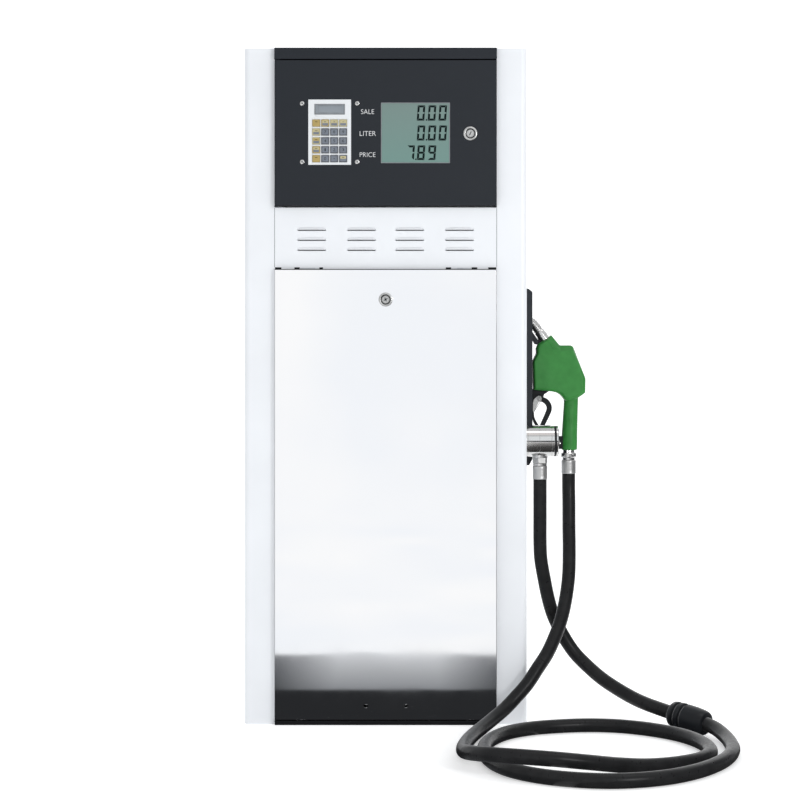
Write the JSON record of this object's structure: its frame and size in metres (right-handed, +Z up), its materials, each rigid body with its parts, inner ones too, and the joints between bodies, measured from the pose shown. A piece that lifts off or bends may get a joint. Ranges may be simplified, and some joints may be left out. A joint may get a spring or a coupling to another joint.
{
  "type": "gas pump",
  "caption": "Slim fuel dispenser cabinet with a display and keypad door, polished service door, side boot with a trigger nozzle and a looped rubber hose.",
  "frame": {"origin": "centre of the cabinet's anchor bolt pattern, on the floor", "axes": "+Z up, -Y out of the front face, +X towards the side with the nozzle"},
  "size_m": [1.117, 1.129, 1.6],
  "materials": {
    "white_paint": "gloss powder coat",
    "charcoal_paint": "satin paint",
    "black_paint": "satin paint",
    "polished_steel": "mirror-polished stainless steel",
    "bright_steel": "turned and polished",
    "zinc_sheet": "zinc plated",
    "grey_iron": "painted casting",
    "blue_paint": "machine enamel",
    "cast_aluminium": "as cast",
    "black_plastic": "moulded grain",
    "grey_plastic": "moulded",
    "green_plastic": "soft vinyl cover",
    "white_plate": "satin",
    "hose_rubber": "smooth cover",
    "lcd_glass": "display window",
    "small_lcd": "display window",
    "key_gold": "printed key",
    "key_cream": "printed key",
    "key_grey": "printed key"
  },
  "bodies": {
    "cabinet": {"base_frame": "black_paint", "left_column": "white_paint", "right_column": "white_paint", "top_cover": "charcoal_paint", "rear_panel": "white_paint", "mid_shelf": "zinc_sheet", "louvre_panel": "white_paint", "pump_unit": "grey_iron", "motor": "blue_paint", "flow_meter": "cast_aluminium", "inlet_pipe": "zinc_sheet", "outlet_pipe": "zinc_sheet", "control_box": "grey_plastic", "nozzle_boot": "black_plastic", "sight_glass_housing": "bright_steel", "sight_glass_gasket": "black_plastic", "sight_glass_cap": "bright_steel", "outlet_union": "bright_steel", "outlet_ferrule": "bright_steel", "hose_outlet_side": "hose_rubber", "hose_coupling": "black_plastic", "hose_nozzle_side": "hose_rubber"},
    "display_door": {"display_door": "charcoal_paint", "display_lock_barrel": "bright_steel", "keypad_plate": "white_plate", "keypad_screws": "bright_steel", "keypad_lcd": "small_lcd", "main_lcd": "lcd_glass"},
    "display_lock": {"display_lock_plug": "bright_steel"},
    "lower_door": {"lower_door": "polished_steel", "door_lock_barrel": "bright_steel"},
    "door_lock": {"door_lock_plug": "bright_steel"},
    "nozzle": {"nozzle_cover": "green_plastic", "nozzle_body": "cast_aluminium", "nozzle_spout": "bright_steel", "lever_guard": "black_plastic"},
    "inlet_swivel": {"nozzle_swivel": "bright_steel", "nozzle_ferrule": "bright_steel"},
    "trigger": {"nozzle_lever": "black_plastic"},
    "latch": {"hold_open_latch": "bright_steel"},
    "key_r1c1": {"key_r1c1": "key_gold"},
    "key_r1c2": {"key_r1c2": "key_gold"},
    "key_r1c3": {"key_r1c3": "key_cream"},
    "key_r1c4": {"key_r1c4": "key_cream"},
    "key_r2c1": {"key_r2c1": "key_cream"},
    "key_r2c2": {"key_r2c2": "key_grey"},
    "key_r2c3": {"key_r2c3": "key_grey"},
    "key_r2c4": {"key_r2c4": "key_grey"},
    "key_r3c1": {"key_r3c1": "key_cream"},
    "key_r3c2": {"key_r3c2": "key_grey"},
    "key_r3c3": {"key_r3c3": "key_grey"},
    "key_r3c4": {"key_r3c4": "key_grey"},
    "key_r4c1": {"key_r4c1": "key_gold"},
    "key_r4c2": {"key_r4c2": "key_grey"},
    "key_r4c3": {"key_r4c3": "key_grey"},
    "key_r4c4": {"key_r4c4": "key_grey"},
    "key_r5c1": {"key_r5c1": "key_gold"},
    "key_r5c2": {"key_r5c2": "key_grey"},
    "key_r5c3": {"key_r5c3": "key_grey"},
    "key_r5c4": {"key_r5c4": "key_grey"}
  },
  "joints": [
    {"name": "display_door_hinge", "type": "hinge", "parent": "cabinet", "child": "display_door", "pos_m": [-0.254, -0.202, 1.4], "axis": [0, 0, -1], "range_deg": [0, 105]},
    {"name": "display_lock_turn", "type": "hinge", "parent": "display_door", "child": "display_lock", "pos_m": [0.2, -0.21, 1.397], "axis": [0, -1, 0], "range_deg": [0, 90]},
    {"name": "lower_door_tilt", "type": "hinge", "parent": "cabinet", "child": "lower_door", "pos_m": [0, -0.206, 0.0145], "axis": [1, 0, 0], "range_deg": [0, 25]},
    {"name": "door_lock_turn", "type": "hinge", "parent": "lower_door", "child": "door_lock", "pos_m": [0, -0.21, 1.005], "axis": [0, -1, 0], "range_deg": [0, 90]},
    {"name": "nozzle_draw", "type": "slide", "parent": "cabinet", "child": "nozzle", "axis": [0.9903, 0, 0.1392], "range_m": [0, 0.17], "deforming": ["hose_nozzle_side"]},
    {"name": "inlet_swivel_turn", "type": "hinge", "parent": "nozzle", "child": "inlet_swivel", "pos_m": [0.446, -0.04, 0.62], "axis": [0, 0, 1], "continuous": true},
    {"name": "trigger_pull", "type": "hinge", "parent": "nozzle", "child": "trigger", "pos_m": [0.3735, -0.04, 0.7666], "axis": [0, -1, 0], "range_deg": [0, 22], "stiffness_Nm_per_rad": 0.5, "springref_deg": -11.46},
    {"name": "latch_swing", "type": "hinge", "parent": "nozzle", "child": "latch", "pos_m": [0.3735, -0.04, 0.7666], "axis": [0, -1, 0], "range_deg": [0, 30], "stiffness_Nm_per_rad": 0.01, "springref_deg": -20.05},
    {"name": "key_r1c1_press", "type": "slide", "parent": "display_door", "child": "key_r1c1", "axis": [0, 1, 0], "range_m": [0, 0.0012], "stiffness_N_per_m": 500},
    {"name": "key_r1c2_press", "type": "slide", "parent": "display_door", "child": "key_r1c2", "axis": [0, 1, 0], "range_m": [0, 0.0012], "stiffness_N_per_m": 500},
    {"name": "key_r1c3_press", "type": "slide", "parent": "display_door", "child": "key_r1c3", "axis": [0, 1, 0], "range_m": [0, 0.0012], "stiffness_N_per_m": 500},
    {"name": "key_r1c4_press", "type": "slide", "parent": "display_door", "child": "key_r1c4", "axis": [0, 1, 0], "range_m": [0, 0.0012], "stiffness_N_per_m": 500},
    {"name": "key_r2c1_press", "type": "slide", "parent": "display_door", "child": "key_r2c1", "axis": [0, 1, 0], "range_m": [0, 0.0012], "stiffness_N_per_m": 500},
    {"name": "key_r2c2_press", "type": "slide", "parent": "display_door", "child": "key_r2c2", "axis": [0, 1, 0], "range_m": [0, 0.0012], "stiffness_N_per_m": 500},
    {"name": "key_r2c3_press", "type": "slide", "parent": "display_door", "child": "key_r2c3", "axis": [0, 1, 0], "range_m": [0, 0.0012], "stiffness_N_per_m": 500},
    {"name": "key_r2c4_press", "type": "slide", "parent": "display_door", "child": "key_r2c4", "axis": [0, 1, 0], "range_m": [0, 0.0012], "stiffness_N_per_m": 500},
    {"name": "key_r3c1_press", "type": "slide", "parent": "display_door", "child": "key_r3c1", "axis": [0, 1, 0], "range_m": [0, 0.0012], "stiffness_N_per_m": 500},
    {"name": "key_r3c2_press", "type": "slide", "parent": "display_door", "child": "key_r3c2", "axis": [0, 1, 0], "range_m": [0, 0.0012], "stiffness_N_per_m": 500},
    {"name": "key_r3c3_press", "type": "slide", "parent": "display_door", "child": "key_r3c3", "axis": [0, 1, 0], "range_m": [0, 0.0012], "stiffness_N_per_m": 500},
    {"name": "key_r3c4_press", "type": "slide", "parent": "display_door", "child": "key_r3c4", "axis": [0, 1, 0], "range_m": [0, 0.0012], "stiffness_N_per_m": 500},
    {"name": "key_r4c1_press", "type": "slide", "parent": "display_door", "child": "key_r4c1", "axis": [0, 1, 0], "range_m": [0, 0.0012], "stiffness_N_per_m": 500},
    {"name": "key_r4c2_press", "type": "slide", "parent": "display_door", "child": "key_r4c2", "axis": [0, 1, 0], "range_m": [0, 0.0012], "stiffness_N_per_m": 500},
    {"name": "key_r4c3_press", "type": "slide", "parent": "display_door", "child": "key_r4c3", "axis": [0, 1, 0], "range_m": [0, 0.0012], "stiffness_N_per_m": 500},
    {"name": "key_r4c4_press", "type": "slide", "parent": "display_door", "child": "key_r4c4", "axis": [0, 1, 0], "range_m": [0, 0.0012], "stiffness_N_per_m": 500},
    {"name": "key_r5c1_press", "type": "slide", "parent": "display_door", "child": "key_r5c1", "axis": [0, 1, 0], "range_m": [0, 0.0012], "stiffness_N_per_m": 500},
    {"name": "key_r5c2_press", "type": "slide", "parent": "display_door", "child": "key_r5c2", "axis": [0, 1, 0], "range_m": [0, 0.0012], "stiffness_N_per_m": 500},
    {"name": "key_r5c3_press", "type": "slide", "parent": "display_door", "child": "key_r5c3", "axis": [0, 1, 0], "range_m": [0, 0.0012], "stiffness_N_per_m": 500},
    {"name": "key_r5c4_press", "type": "slide", "parent": "display_door", "child": "key_r5c4", "axis": [0, 1, 0], "range_m": [0, 0.0012], "stiffness_N_per_m": 500}
  ]
}
